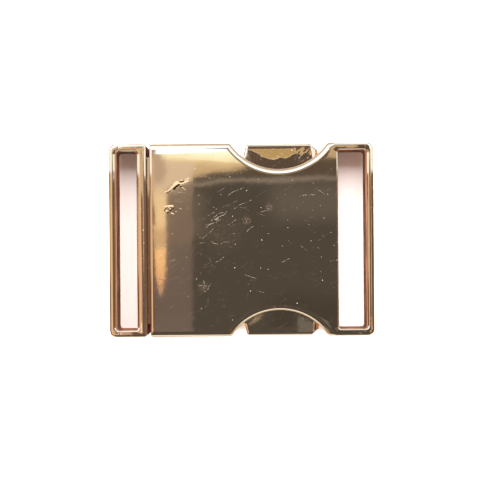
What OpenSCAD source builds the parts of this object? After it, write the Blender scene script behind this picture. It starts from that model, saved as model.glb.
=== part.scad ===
// Side release buckle for 38 mm webbing, die cast and plated, shown fastened and lying on its back.
// +X runs from the tongue's strap frame to the housing's strap bar, +Y lies across the webbing
// and +Z rises from the back face. The origin is the middle of the back face.

/* [Overall] */
// Length of both strap slots, across which the webbing lies
slot_w = 39.3; // [32:0.1:45]
// Width of the rails beside both strap slots
rail_w = 1.55; // [1.4:0.05:3]
// Thickness of the strap frame and of the housing
body_t = 9; // [8.4:0.2:11]

/* [Tongue frame] */
// Width of the bar at the free end, round which the strap is sewn
frame_bar = 1.55; // [1.4:0.05:2.4]
// Width of the frame's strap slot
frame_slot = 4.5; // [4.2:0.1:7]
// Width of the frame's inner bar, which carries the neck
frame_land = 2.15; // [1.8:0.05:3]
// Gap left between the frame and the housing's mouth
mouth_gap = 0.75; // [0.3:0.05:1.5]

/* [Housing] */
// Length of the socket, from the mouth to the strap slot
socket_l = 41.3; // [38:0.1:46]
// Width of the housing's strap slot
strap_slot = 6.2; // [4.5:0.1:9]
// Width of the bar at the housing's end
strap_bar = 1.65; // [1.4:0.05:2.6]
// Thickness of the front plate
front_t = 1.7; // [1.2:0.1:2]
// Thickness of the back plate
back_t = 1.5; // [1.2:0.1:1.8]
// Thickness of the side walls
side_t = 2.55; // [2.2:0.05:2.9]
// Thickness of the wall between the socket and the strap slot
end_t = 2.2; // [1.6:0.1:2.6]

/* [Scallops] */
// Distance from the strap slot to the middle of the two scallops
scallop_at = 12.94; // [12.5:0.02:14]
// Radius of each scallop
scallop_r = 12.8; // [12:0.1:13]
// Depth of each scallop at its middle
scallop_depth = 5.7; // [5:0.1:5.8]
// Radius of the eased corners where a scallop meets the long edge
scallop_ease = 0.8; // [0.4:0.1:1.2]

/* [Latch] */
// Distance from the scallops' middle to the faces that hold the levers
catch_at = 11.26; // [10.4:0.02:12.4]
// Length of the catches along the socket
catch_l = 4.2; // [3.4:0.1:5]
// Height of the catches over the side walls
catch_h = 1.25; // [1:0.05:1.3]
// Undercut of the holding faces, in degrees
catch_slope = 6; // [0:1:8]
// Inward swing of each lever, in degrees
swing = 6.5; // [5.5:0.1:6.8]

/* [Levers] */
// Distance of the pivots from the inner end of the tongue frame
pivot_in = 4.25; // [4:0.05:4.6]
// Radius of a lever's eye
eye_r = 2.4; // [2:0.05:2.5]
// Thickness of a lever's eye
eye_t = 2.6; // [2:0.1:3]
// Distance from the scallop's middle to the near end of the button's outer face
button_near = 7.2; // [6.8:0.1:7.6]
// Distance from the scallop's middle to the far end of the button's outer face
button_far = 7.15; // [6.8:0.1:7.4]
// Bevel at the button's far end
button_bevel = 1.5; // [1:0.1:1.7]

/* [Pins and springs] */
// Diameter of the pivot pins
pin_d = 2; // [1.4:0.1:2.4]
// Outer diameter of the springs
spring_d = 3.1; // [2.6:0.1:3.3]
// Diameter of the spring wire
wire_d = 0.45; // [0.3:0.05:0.5]
// Number of turns in a spring
spring_turns = 6; // [4:1:7]
// Depth of the spring's seat in a lever
lever_seat = 2.2; // [1.5:0.1:3]
// Depth of the spring's seat in the tongue
tongue_seat = 2.4; // [1.5:0.1:3]

/* [Edges] */
// Radius of the long edges of the front
front_round = 1.3; // [0.8:0.1:1.4]
// Radius of the long edges of the back
back_round = 0.9; // [0.5:0.1:1.1]
// Radius of the edges round the strap bars
bar_round = 0.7; // [0.3:0.05:0.7]
// Radius of the small edges at the mouth and on the buttons
small_round = 0.35; // [0.2:0.05:0.45]
// Corner radius of the two ends, seen from the front
end_corner = 1.5; // [0.8:0.1:2]
// Corner radius beside the mouth, seen from the front
mouth_corner = 0.65; // [0.4:0.05:0.8]

/* [Hidden] */

rose_gold = [0.86, 0.66, 0.50];
dark_gold = [0.62, 0.46, 0.34];
steel = [0.72, 0.72, 0.74];

// Clearances: the tongue's play in the socket, a lever's play, the latch, and the pins' fits
neck_play = 0.35;
lift_play = 0.3;
lever_play = 0.25;
arm_play = 0.3;
latch_gap = 0.15;
tip_gap = 0.6;
stop_gap = 0.2;
button_set = 0.1;
eye_play = 0.1;
pin_fit = 0.02;
eye_fit = 0.06;
seat_play = 0.3;
spring_end_gap = 0.1;
cut = 1;
round_steps = 5;
most_of_half = 0.45;
frame_round = min(bar_round, frame_bar * most_of_half);
strap_round = min(bar_round, strap_bar * most_of_half);
rail_round = min(bar_round, max(rail_w - front_round, 0));
land_round = min(bar_round, frame_land * most_of_half);

// Places along X, from the free end of the tongue frame to the housing's strap bar
total_l = frame_bar + frame_slot + frame_land + mouth_gap + socket_l + strap_slot + strap_bar;
frame_x = -total_l / 2;
frame_slot_x = frame_x + frame_bar;
neck_x = frame_slot_x + frame_slot + frame_land;
mouth_x = neck_x + mouth_gap;
strap_x = mouth_x + socket_l;
bar_x = strap_x + strap_slot;
end_x = bar_x + strap_bar;
half_w = slot_w / 2 + rail_w;

// The socket, its catches and the scallops
socket_y = half_w - side_t;
socket_end = strap_x - end_t;
socket_z0 = back_t;
socket_z1 = body_t - front_t;
mid_z = (socket_z0 + socket_z1) / 2;
scallop_x = strap_x - scallop_at;
scallop_y = half_w - scallop_depth + scallop_r;
catch_x = scallop_x - catch_at;
catch_y = socket_y - catch_h;
catch_tip = catch_h * tan(catch_slope);
catch_top_l = catch_l * 0.4;

// The tongue: the neck's block, its ears and the tapered blade that stops the levers
neck_y = socket_y - neck_play;
block_t = socket_z1 - socket_z0 - 2 * lift_play;
blade_t = block_t * 0.65;
ear_side = 0.2;
pivot_x = neck_x + pivot_in;
pivot_y = neck_y - eye_r - ear_side;
block_end = pivot_x + eye_r + ear_side;
blade_end = socket_end - tip_gap;
ear_gap = eye_t + 2 * eye_play;
seat_wall = 1.1;
seat_half = spring_d / 2 + seat_play + seat_wall;

// The levers in plan
arm_in = eye_r - 0.15;
arm_y0 = pivot_y - arm_in;
arm_y1 = catch_y - arm_play;
root_x = block_end + 0.7;
shoulder_y = socket_y - neck_play;
button_y = half_w - button_set;
button_x0 = scallop_x - button_near;
button_x1 = scallop_x + button_far;
button_flare = 0.6;
lever_end = button_x1 + button_bevel + 0.2;
lever_z0 = socket_z0 + lever_play;
lever_t = socket_z1 - socket_z0 - 2 * lever_play;

// The springs lie across, between a seat in the blade and one in the lever
seat_d = spring_d + 2 * seat_play;
spring_x = scallop_x;
spring_y0 = stop_y(spring_x) - tongue_seat + spring_end_gap;
spring_y1 = arm_y0 + lever_seat - spring_end_gap;
spring_l = spring_y1 - spring_y0;

// Where the blade's flank lies at x, which is where a lever's inner face comes at full swing
function stop_y(x) = pivot_y - arm_in / cos(swing) - (x - pivot_x) * tan(swing) - stop_gap;

function unit(v) = v / norm(v);

// One corner b of an outline between a and c, as an arc of radius r
function corner(a, b, c, r) =
    let (u = unit(a - b), v = unit(c - b), half = acos(u * v) / 2,
         m = b + unit(u + v) * r / sin(half),
         s = b + u * r / tan(half) - m, e = b + v * r / tan(half) - m,
         from = atan2(s.y, s.x), turn = atan2(s.x * e.y - s.y * e.x, s * e))
    [for (k = [0:round_steps]) m + r * [cos(from + turn * k / round_steps),
                                        sin(from + turn * k / round_steps)]];

// An outline from rows of [x, y, corner radius]
function rounded(rows) =
    let (n = len(rows), p = [for (row = rows) [row.x, row.y]])
    [for (i = [0:n - 1]) each rows[i].z > 0
        ? corner(p[(i + n - 1) % n], p[i], p[(i + 1) % n], rows[i].z) : [p[i]]];

// A bar's section from x0 to x1 and from z0 to z1, its upper and lower edges rounded at both sides
function section(x0, x1, z0, z1, near, far) =
    rounded([[x0, z0, near[0]], [x1, z0, far[0]], [x1, z1, far[1]], [x0, z1, near[1]]]);

// A section drawn in Y and Z, run along X
module along_x(x0, x1) {
    translate([x0, 0, 0]) rotate([90, 0, 90]) linear_extrude(x1 - x0) children();
}

// A section drawn in X and Z, run along Y
module along_y(y0, y1) {
    translate([0, y1, 0]) rotate([90, 0, 0]) linear_extrude(y1 - y0) children();
}

module both_sides() {
    children();
    mirror([0, 1, 0]) children();
}

// A block with the corners of its plan and all its long edges rounded
module rounded_block(x0, x1, near, far, near_corner, far_corner) {
    intersection() {
        translate([0, 0, -cut]) linear_extrude(body_t + 2 * cut)
            polygon(rounded([[x0, -half_w, near_corner], [x1, -half_w, far_corner],
                             [x1, half_w, far_corner], [x0, half_w, near_corner]]));
        along_x(x0 - cut, x1 + cut)
            polygon(section(-half_w, half_w, 0, body_t,
                            [back_round, front_round], [back_round, front_round]));
        along_y(-half_w - cut, half_w + cut)
            polygon(section(x0, x1, 0, body_t, [near, near], [far, far]));
    }
}

// What a strap slot takes out: a window whose mouths widen where its edges are rounded
module slot_cutter(x0, x1, near, far) {
    rail = rail_round;
    intersection() {
        along_y(-half_w, half_w) difference() {
            translate([x0 - near, -cut]) square([x1 - x0 + near + far, body_t + 2 * cut]);
            polygon(section(x0 - 2 * cut - near, x0, 0, body_t, [0, 0], [near, near]));
            polygon(section(x1, x1 + far + 2 * cut, 0, body_t, [far, far], [0, 0]));
        }
        along_x(x0 - near - cut, x1 + far + cut) difference() {
            translate([-slot_w / 2 - rail, -cut]) square([slot_w + 2 * rail, body_t + 2 * cut]);
            for (side = [-1, 1]) scale([side, 1])
                polygon(section(slot_w / 2, half_w + rail, 0, body_t, [rail, rail], [0, 0]));
        }
    }
}

// What a scallop takes out: a round bite whose rims are eased at the front and the back
module scallop_cutter() {
    translate([scallop_x, scallop_y, 0]) rotate_extrude($fn = 96)
        difference() {
            translate([0, -cut]) square([scallop_r + front_round, body_t + 2 * cut]);
            polygon(section(scallop_r, scallop_r + 3 * cut, 0, body_t,
                            [back_round, front_round], [0, 0]));
        }
}

// What eases the two corners of a scallop: the sliver outside an arc that runs from the long
// edge into the scallop's curve
module scallop_corner_cutter() {
    reach = scallop_r + scallop_ease;
    rise = scallop_y - half_w + scallop_ease;
    run = sqrt(reach * reach - rise * rise);
    along = atan2(rise, run);
    for (side = [-1, 1]) translate([scallop_x, 0, -cut]) scale([side, 1, 1])
        linear_extrude(body_t + 2 * cut)
            polygon([[run, half_w + cut],
                     for (k = [0:round_steps]) let (a = 90 + k * (90 - along) / round_steps)
                         [run, half_w - scallop_ease] + scallop_ease * [cos(a), sin(a)],
                     [run, half_w - scallop_ease]
                         + (scallop_ease + cut) * [-cos(along), sin(along)]]);
}

// The hollow of the socket, open at the mouth and into both scallops, with a catch on each side
module socket_cutter() {
    upper = [[mouth_x - cut, socket_y], [catch_x - catch_l, socket_y],
             [catch_x - catch_top_l, catch_y], [catch_x + catch_tip, catch_y],
             [catch_x, socket_y], [scallop_x, socket_y],
             [scallop_x, half_w + cut], [socket_end, half_w + cut]];
    n = len(upper);
    translate([0, 0, socket_z0]) linear_extrude(socket_z1 - socket_z0)
        polygon([for (p = upper) p, for (i = [1:n]) [upper[n - i].x, -upper[n - i].y]]);
}

// Housing: front and back plate, side walls, catches, end wall and strap bar in one casting
module female_housing() {
    color(rose_gold) difference() {
        rounded_block(mouth_x, end_x, small_round, strap_round, mouth_corner, end_corner);
        both_sides() {
            scallop_cutter();
            scallop_corner_cutter();
        }
        socket_cutter();
        slot_cutter(strap_x, bar_x, small_round, strap_round);
    }
}

// Tongue: strap frame, neck, ears for the levers and the blade between them in one casting
module male_frame() {
    color(rose_gold) difference() {
        union() {
            difference() {
                rounded_block(frame_x, neck_x, frame_round, small_round, end_corner, mouth_corner);
                slot_cutter(frame_slot_x, neck_x - frame_land, frame_round, land_round);
            }
            translate([neck_x - frame_land / 2, -neck_y, mid_z - block_t / 2])
                cube([block_end - neck_x + frame_land / 2, 2 * neck_y, block_t]);
            translate([0, 0, mid_z - blade_t / 2]) linear_extrude(blade_t) blade_plan();
            both_sides() translate([0, 0, mid_z - block_t / 2]) linear_extrude(block_t)
                spring_seat_plan();
        }
        both_sides() {
            translate([pivot_x - eye_r - ear_side, stop_y(block_end), mid_z - ear_gap / 2])
                cube([block_end - pivot_x + eye_r + ear_side + cut, neck_y, ear_gap]);
            translate([pivot_x, pivot_y, 0])
                cylinder(d = pin_d + 2 * pin_fit, h = body_t, $fn = 48);
            translate([spring_x, spring_y0 - spring_end_gap, mid_z]) rotate([-90, 0, 0])
                cylinder(d = seat_d, h = spring_l, $fn = 48);
        }
    }
}

module blade_plan() {
    near_y = stop_y(block_end);
    far_y = stop_y(blade_end);
    polygon([[block_end - cut, -near_y], [block_end, -near_y], [blade_end, -far_y],
             [blade_end, far_y], [block_end, near_y], [block_end - cut, near_y]]);
}

module spring_seat_plan() {
    x0 = spring_x - seat_half;
    x1 = spring_x + seat_half;
    back = spring_y0 - spring_end_gap - seat_wall;
    polygon([[x0, back], [x1, back], [x1, stop_y(x1)], [x0, stop_y(x0)]]);
}

// A lever in plan, without its eye: the arm, the shoulder behind the catch, and the button
module lever_plan() {
    shoulder = catch_x + latch_gap + (socket_y - shoulder_y) * tan(catch_slope);
    arm_top = catch_x + latch_gap + (socket_y - arm_y1) * tan(catch_slope);
    ease = 2 * small_round;
    polygon(rounded([
        [root_x, arm_y0, 0], [lever_end, arm_y0, ease],
        [lever_end, button_y - 2 * button_bevel, 0],
        [button_x1 + button_bevel, button_y - button_bevel, small_round],
        [button_x1, button_y, small_round], [button_x0, button_y, ease],
        [button_x0 - button_flare, shoulder_y, small_round],
        [shoulder, shoulder_y, small_round], [arm_top, arm_y1, small_round],
        [root_x, arm_y1, ease]]));
}

// A lever: its eye and root lie between the ears, and its seat holds the spring
module release_lever() {
    color(dark_gold) difference() {
        union() {
            intersection() {
                translate([0, 0, lever_z0]) linear_extrude(lever_t) lever_plan();
                along_x(root_x - cut, lever_end + cut)
                    polygon(section(arm_y0 - cut, button_y, lever_z0, lever_z0 + lever_t,
                                    [0, 0], [small_round, small_round]));
            }
            translate([pivot_x, arm_y0, mid_z - eye_t / 2])
                cube([root_x - pivot_x + cut, arm_y1 - arm_y0, eye_t]);
            translate([pivot_x, pivot_y, mid_z - eye_t / 2])
                cylinder(r = eye_r, h = eye_t, $fn = 64);
        }
        translate([pivot_x, pivot_y, 0])
            cylinder(d = pin_d + 2 * eye_fit, h = body_t, $fn = 48);
        translate([spring_x, arm_y0 - cut, mid_z]) rotate([-90, 0, 0])
            cylinder(d = seat_d, h = lever_seat + cut, $fn = 48);
    }
}

module left_release_lever() {
    release_lever();
}

module right_release_lever() {
    mirror([0, 1, 0]) release_lever();
}

// A headless pin through both ears and the lever's eye
module pivot_pin() {
    color(steel) translate([pivot_x, pivot_y, mid_z])
        cylinder(d = pin_d, h = block_t, center = true, $fn = 48);
}

module left_pivot_pin() {
    pivot_pin();
}

module right_pivot_pin() {
    mirror([0, 1, 0]) pivot_pin();
}

// A compression spring, coiled round a line along Y
module spring() {
    sides = 6;
    per_turn = 14;
    coil_r = (spring_d - wire_d) / 2;
    rise = spring_l - wire_d;
    rings = spring_turns * per_turn;
    slant = atan(rise / (spring_turns * 360 * coil_r * PI / 180));
    points = [for (i = [0:rings]) let (turn = 360 * i / per_turn, out = [cos(turn), 0, sin(turn)],
                                       up = [sin(turn) * sin(slant), cos(slant),
                                             -cos(turn) * sin(slant)])
        for (k = [0:sides - 1]) out * coil_r + [0, rise * i / rings, 0]
            + (out * cos(360 * k / sides) + up * sin(360 * k / sides)) * wire_d / 2];
    walls = [for (i = [0:rings - 1], k = [0:sides - 1])
        let (a = i * sides + k, b = i * sides + (k + 1) % sides)
        [a, b, b + sides, a + sides]];
    color(steel) translate([spring_x, spring_y0 + wire_d / 2, mid_z])
        polyhedron(points, [[for (k = [sides - 1:-1:0]) k], each walls,
                            [for (k = [0:sides - 1]) rings * sides + k]], convexity = 10);
}

module left_spring() {
    spring();
}

module right_spring() {
    mirror([0, 1, 0]) spring();
}

female_housing();
male_frame();
left_release_lever();
right_release_lever();
left_pivot_pin();
right_pivot_pin();
left_spring();
right_spring();
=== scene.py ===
import math

import bmesh
import bpy
from mathutils import Matrix, Vector


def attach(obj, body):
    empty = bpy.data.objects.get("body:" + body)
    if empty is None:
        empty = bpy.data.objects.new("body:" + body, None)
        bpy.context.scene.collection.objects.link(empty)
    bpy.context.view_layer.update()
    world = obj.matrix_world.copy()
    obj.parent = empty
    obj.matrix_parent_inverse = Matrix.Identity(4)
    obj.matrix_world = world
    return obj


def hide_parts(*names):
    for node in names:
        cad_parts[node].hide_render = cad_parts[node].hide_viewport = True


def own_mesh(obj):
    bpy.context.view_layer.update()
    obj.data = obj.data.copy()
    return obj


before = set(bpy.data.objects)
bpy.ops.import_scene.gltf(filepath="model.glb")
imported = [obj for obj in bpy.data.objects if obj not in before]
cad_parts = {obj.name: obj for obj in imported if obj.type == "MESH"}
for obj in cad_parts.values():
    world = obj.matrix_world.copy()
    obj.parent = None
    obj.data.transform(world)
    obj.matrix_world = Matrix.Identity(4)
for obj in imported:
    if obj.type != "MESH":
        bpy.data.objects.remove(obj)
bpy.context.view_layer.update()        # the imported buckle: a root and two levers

mm = 0.001

# The camera hangs straight over the buckle, about 265 mm from its front plate. In the photograph
# the buckle lies turned by less than a degree and a little up and to the left of the middle.
body_t = 9.0
camera_up = 265.0
frame_width = 109.45
photo_width = 500
under_camera = (1.81, -2.23)
roll = math.radians(-0.45)

lens = bpy.data.cameras.new("overhead_camera")
lens.sensor_width = 36
lens.lens = 36 * camera_up / frame_width
lens.clip_start = 0.01
camera = bpy.data.objects.new("overhead_camera", lens)
camera.location = Vector((under_camera[0], under_camera[1], body_t + camera_up)) * mm
camera.rotation_euler = (0, 0, roll)
bpy.context.scene.collection.objects.link(camera)
bpy.context.scene.camera = camera
bpy.context.scene.view_settings.view_transform = "Standard"


# The studio: white paper, a pale room, a soft light from the +Y side, and the ceiling and the room's
# walls as the polished metal mirrors them. Only the metal's reflections see the ceiling and walls.
def stage_mesh(name, points, faces, material):
    mesh = bpy.data.meshes.new(name)
    mesh.from_pydata([Vector(p) * mm for p in points], [], faces)
    mesh.materials.append(material)
    thing = bpy.data.objects.new(name, mesh)
    bpy.context.scene.collection.objects.link(thing)
    return thing


def new_material(name):
    material = bpy.data.materials.new(name)
    material.use_nodes = True
    material.node_tree.nodes.clear()
    return material


def add(tree, kind, settings=None, **inputs):
    """A node of this kind, its settings, and its inputs by name with _ for a space, or by number."""
    node = tree.nodes.new(kind)
    for key, value in (settings or {}).items():
        setattr(node, key, value)
    for key, value in inputs.items():
        socket = node.inputs[int(key[1:])] if key[1:].isdigit() else node.inputs[key.replace("_", " ")]
        if isinstance(value, bpy.types.NodeSocket):
            tree.links.new(value, socket)
        else:
            socket.default_value = value
    return node


def maths(tree, operation, *values):
    node = tree.nodes.new("ShaderNodeMath")
    node.operation = operation
    for slot, value in enumerate(values):
        if isinstance(value, bpy.types.NodeSocket):
            tree.links.new(value, node.inputs[slot])
        else:
            node.inputs[slot].default_value = value
    return node.outputs[0]


def both(tree, *masks):
    """Masks multiplied: 1 where all of them are."""
    cover = masks[0]
    for mask in masks[1:]:
        cover = maths(tree, "MULTIPLY", cover, mask)
    return cover


def either(tree, *masks):
    """The strongest of these masks."""
    cover = masks[0]
    for mask in masks[1:]:
        cover = maths(tree, "MAXIMUM", cover, mask)
    return cover


def vectors(tree, operation, *values):
    """A sum on vectors: its number where it has one, and otherwise its vector."""
    inputs = {f"_{k}": value for k, value in enumerate(values)}
    node = add(tree, "ShaderNodeVectorMath", {"operation": operation}, **inputs)
    return node.outputs[1 if operation in ("DOT_PRODUCT", "DISTANCE", "LENGTH") else 0]


def soft_step(tree, value, start, stop, first=0.0, last=1.0):
    """Goes softly from first to last while the value goes from start to stop."""
    return add(tree, "ShaderNodeMapRange", {"interpolation_type": "SMOOTHSTEP"}, Value=value,
               From_Min=start, From_Max=stop, To_Min=first, To_Max=last).outputs[0]


def between(tree, value, start, stop, soft):
    """1 while the value lies between start and stop, with soft ends inside them."""
    return both(tree, soft_step(tree, value, start, start + soft),
                soft_step(tree, value, stop - soft, stop, 1.0, 0.0))


def noise(tree, place, scale, detail, rough=0.5):
    return add(tree, "ShaderNodeTexNoise", Vector=place, Scale=scale, Detail=detail,
               Roughness=rough).outputs[0]


def bumped(tree, height, deep, strength=1.0, **onto):
    """A surface with this relief, at most so many mm deep."""
    return add(tree, "ShaderNodeBump", Strength=strength, Distance=deep * mm, Height=height,
               **onto).outputs[0]


def layered(tree, cover, under, over):
    """One colour over another where the cover is 1."""
    return add(tree, "ShaderNodeMix", {"data_type": "RGBA"}, _0=cover, _6=under, _7=over).outputs[2]


def linear(red, green, blue):
    """A screen colour of 0 to 255 as linear light."""
    channels = [((c / 255 + 0.055) / 1.055) ** 2.4 if c > 10 else c / 255 / 12.92
                for c in (red, green, blue)]
    return (*channels, 1)


def ramp(tree, value, stops):
    """A run of screen colours, each at its place along the value."""
    first, last = stops[0][0], stops[-1][0]
    along = add(tree, "ShaderNodeMapRange", Value=value, From_Min=first, From_Max=last)
    node = add(tree, "ShaderNodeValToRGB", Fac=along.outputs[0])
    run = node.color_ramp.elements
    run[0].color = linear(*stops[0][1])
    run[1].color = linear(*stops[-1][1])
    for place, seen in stops[1:-1]:
        run.new((place - first) / (last - first)).color = linear(*seen)
    return node.outputs[0]


# What the rose gold gives back of white light: the room is brighter by as much as the gold takes
gold_tint = (0.93, 0.68, 0.48)


def mirrored(name, points, faces, paint):
    """A glowing part of the room that only reflections see, painted in the colours the gold shows."""
    material = new_material(name)
    tree = material.node_tree
    light = vectors(tree, "DIVIDE", paint(tree), gold_tint)
    glow = add(tree, "ShaderNodeEmission", Color=light)
    add(tree, "ShaderNodeOutputMaterial", Surface=glow.outputs[0])
    thing = stage_mesh(name, points, faces, material)
    thing.visible_camera = False
    thing.visible_diffuse = False
    thing.visible_shadow = False
    thing.visible_transmission = False
    thing.visible_volume_scatter = False
    return thing


paper = new_material("floor_paper")
tree = paper.node_tree
shade = add(tree, "ShaderNodeBsdfDiffuse", Color=(0.9, 0.885, 0.88, 1))
add(tree, "ShaderNodeOutputMaterial", Surface=shade.outputs[0])
square = [(-900, -900), (900, -900), (900, 900), (-900, 900)]
floor = stage_mesh("floor", [(x, y, -0.02) for x, y in square], [(0, 1, 2, 3)], paper)
floor.visible_glossy = False


def paint_floor(tree):
    """The paper as the metal mirrors it: pale round the buckle and brown with the room farther off."""
    place = add(tree, "ShaderNodeTexCoord").outputs["Object"]
    far = soft_step(tree, vectors(tree, "LENGTH", place), 0.045, 0.075)
    return layered(tree, far, linear(240, 200, 164), linear(134, 102, 80))


mirrored("floor_glow", [(x, y, -0.01) for x, y in square], [(0, 1, 2, 3)], paint_floor)

world = bpy.data.worlds.new("pale_room")
world.use_nodes = True
world.node_tree.nodes.clear()
room = add(world.node_tree, "ShaderNodeBackground", Color=(1, 0.70, 0.58, 1), Strength=1.2)
add(world.node_tree, "ShaderNodeOutputWorld", Surface=room.outputs[0])
bpy.context.scene.world = world


def soft_light(name, place, tilt, size, energy):
    """A soft lamp facing the buckle. The metal doesn't mirror it."""
    light = bpy.data.lights.new(name, "AREA")
    light.shape = "RECTANGLE"
    light.size, light.size_y = size
    light.energy = energy
    light.color = (1, 0.98, 0.96)
    lamp = bpy.data.objects.new(name, light)
    lamp.location = place
    lamp.rotation_euler = [math.radians(angle) for angle in tilt]
    lamp.visible_glossy = False
    bpy.context.scene.collection.objects.link(lamp)


soft_light("window_light", (0.0, 0.5, 0.6), (-40, 0, 0), (0.9, 0.6), 20)
soft_light("left_fill", (-0.5, -0.1, 0.2), (0, -68, 0), (0.3, 0.5), 9)
soft_light("right_fill", (0.5, -0.1, 0.2), (0, 68, 0), (0.3, 0.5), 9)

# The room's walls, as colours by the angle in degrees from straight up: a window on the +Y side, dark
# brown on the -Y side with a pale strip of light low down, and tan walls at the two ends
window_side = [(0, (275, 275, 272)), (40, (268, 268, 264)), (50, (255, 248, 226)), (66, (255, 238, 210)),
    (67, (96, 66, 50)), (76, (96, 66, 50)), (77, (255, 240, 215)), (85, (255, 232, 200)),
    (88, (120, 92, 74)), (90, (110, 84, 68))]
dark_side = [(0, (80, 70, 57)), (56, (82, 68, 54)), (61, (96, 78, 62)), (63, (255, 242, 208)),
    (84, (255, 238, 202)), (87, (120, 96, 78)), (90, (110, 86, 70))]
tongue_side = [(0, (224, 176, 134)), (21, (231, 180, 134)), (44, (217, 168, 120)), (52, (192, 154, 120)),
    (58, (112, 76, 52)), (84, (79, 50, 35)), (90, (120, 90, 70))]
bar_side = [(0, (222, 184, 150)), (10, (215, 178, 145)), (20, (180, 146, 116)), (27, (92, 54, 24)),
    (45, (86, 58, 34)), (56, (120, 84, 58)), (70, (146, 106, 76)), (83, (150, 128, 108)),
    (90, (190, 150, 120))]


def paint_room(tree):
    """The four walls by their heading, with a lit door at the tongue's end and cream corners."""
    place = add(tree, "ShaderNodeTexCoord").outputs["Object"]
    way = add(tree, "ShaderNodeSeparateXYZ", _0=vectors(tree, "NORMALIZE", place)).outputs
    off_top = maths(tree, "MULTIPLY", maths(tree, "ARCCOSINE", way[2]), 180 / math.pi)
    level_way = vectors(tree, "NORMALIZE", vectors(tree, "MULTIPLY", place, (1, 1, 0)))
    heading = add(tree, "ShaderNodeSeparateXYZ", _0=level_way)
    to_bar, to_window = heading.outputs[0], heading.outputs[1]
    to_tongue = maths(tree, "MULTIPLY", to_bar, -1.0)
    to_an_end = maths(tree, "ABSOLUTE", to_bar)
    seen = ramp(tree, off_top, dark_side)
    for toward, side in ((to_bar, bar_side), (to_tongue, tongue_side)):
        seen = layered(tree, soft_step(tree, toward, 0.55, 0.8), seen, ramp(tree, off_top, side))
    door = both(tree, between(tree, to_window, -0.045, 0.075, 0.025),
                soft_step(tree, off_top, 56.0, 60.0), soft_step(tree, to_tongue, 0.5, 0.6))
    seen = layered(tree, door, seen, linear(214, 166, 120))
    low_corner = both(tree, soft_step(tree, way[1], 0.072, 0.082), soft_step(tree, to_an_end, 0.5, 0.6))
    corner = both(tree, soft_step(tree, to_an_end, 0.42, 0.52), soft_step(tree, to_window, 0.5, 0.6),
                  soft_step(tree, off_top, 14.0, 20.0))
    seen = layered(tree, either(tree, low_corner, corner), seen, linear(255, 242, 216))
    return layered(tree, soft_step(tree, to_window, 0.36, 0.52), seen, ramp(tree, off_top, window_side))


# A half globe over the floor
room_radius = 900.0
rows, turns = 12, 32
room_points = []
for row in range(rows):
    up = math.pi / 2 * row / rows
    for turn in range(turns):
        round_it = 2 * math.pi * turn / turns
        room_points.append((room_radius * math.cos(up) * math.cos(round_it),
                            room_radius * math.cos(up) * math.sin(round_it), room_radius * math.sin(up)))
room_points.append((0, 0, room_radius))
room_faces = []
for row in range(rows):
    for turn in range(turns):
        here, ahead = row * turns + turn, row * turns + (turn + 1) % turns
        if row < rows - 1:
            room_faces.append((here, ahead, ahead + turns, here + turns))
        else:
            room_faces.append((here, ahead, rows * turns))
mirrored("room_walls", room_points, room_faces, paint_room)

# The ceiling right overhead, laid out by the photograph's pixels at which the plate mirrors it: a dark
# panel, its paler margin, a warm strip of wall beside it and the window's glow. Each run gives colours
# down the picture.
ceiling_up = 320.0
pixel = frame_width / photo_width
warm_run = [(186, (214, 182, 140)), (196, (235, 198, 146)), (222, (241, 198, 142)),
    (228, (234, 190, 134)), (233, (210, 167, 120)), (243, (211, 169, 121)), (247.5, (224, 180, 127)),
    (249, (252, 194, 131)), (262, (249, 190, 126)), (284, (232, 168, 114)), (300, (196, 148, 112))]
glow_run = [(147, (275, 275, 268)), (149, (262, 262, 236)), (151, (255, 255, 212)),
    (155, (255, 240, 188)), (157, (255, 234, 181)), (159, (252, 222, 166)), (160.5, (236, 204, 149)),
    (162, (226, 192, 137)), (166, (208, 173, 124)), (178, (198, 160, 116))]
margin_run = [(180, (142, 118, 94)), (212, (127, 105, 85)), (236, (125, 103, 84)), (250, (113, 95, 80)),
    (308, (108, 90, 77)), (320, (112, 94, 80))]
right_run = [(0, (108, 76, 60)), (52, (104, 72, 58)), (58, (226, 196, 148)), (66, (194, 158, 100)),
    (92, (184, 148, 90)), (103, (206, 172, 116)), (109, (240, 212, 172)), (114, (98, 72, 58)),
    (180, (88, 73, 57))]
left_run = [(140, (150, 112, 84)), (152, (176, 138, 104)), (160, (206, 168, 128)),
    (188, (206, 168, 128)), (198, (118, 84, 64)), (340, (108, 78, 60))]
end_run = [(150, (206, 172, 122)), (196, (222, 178, 130)), (250, (230, 178, 134)),
    (284, (216, 170, 134)), (330, (196, 150, 116))]
dark_panel = (79, 69, 57)
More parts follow.
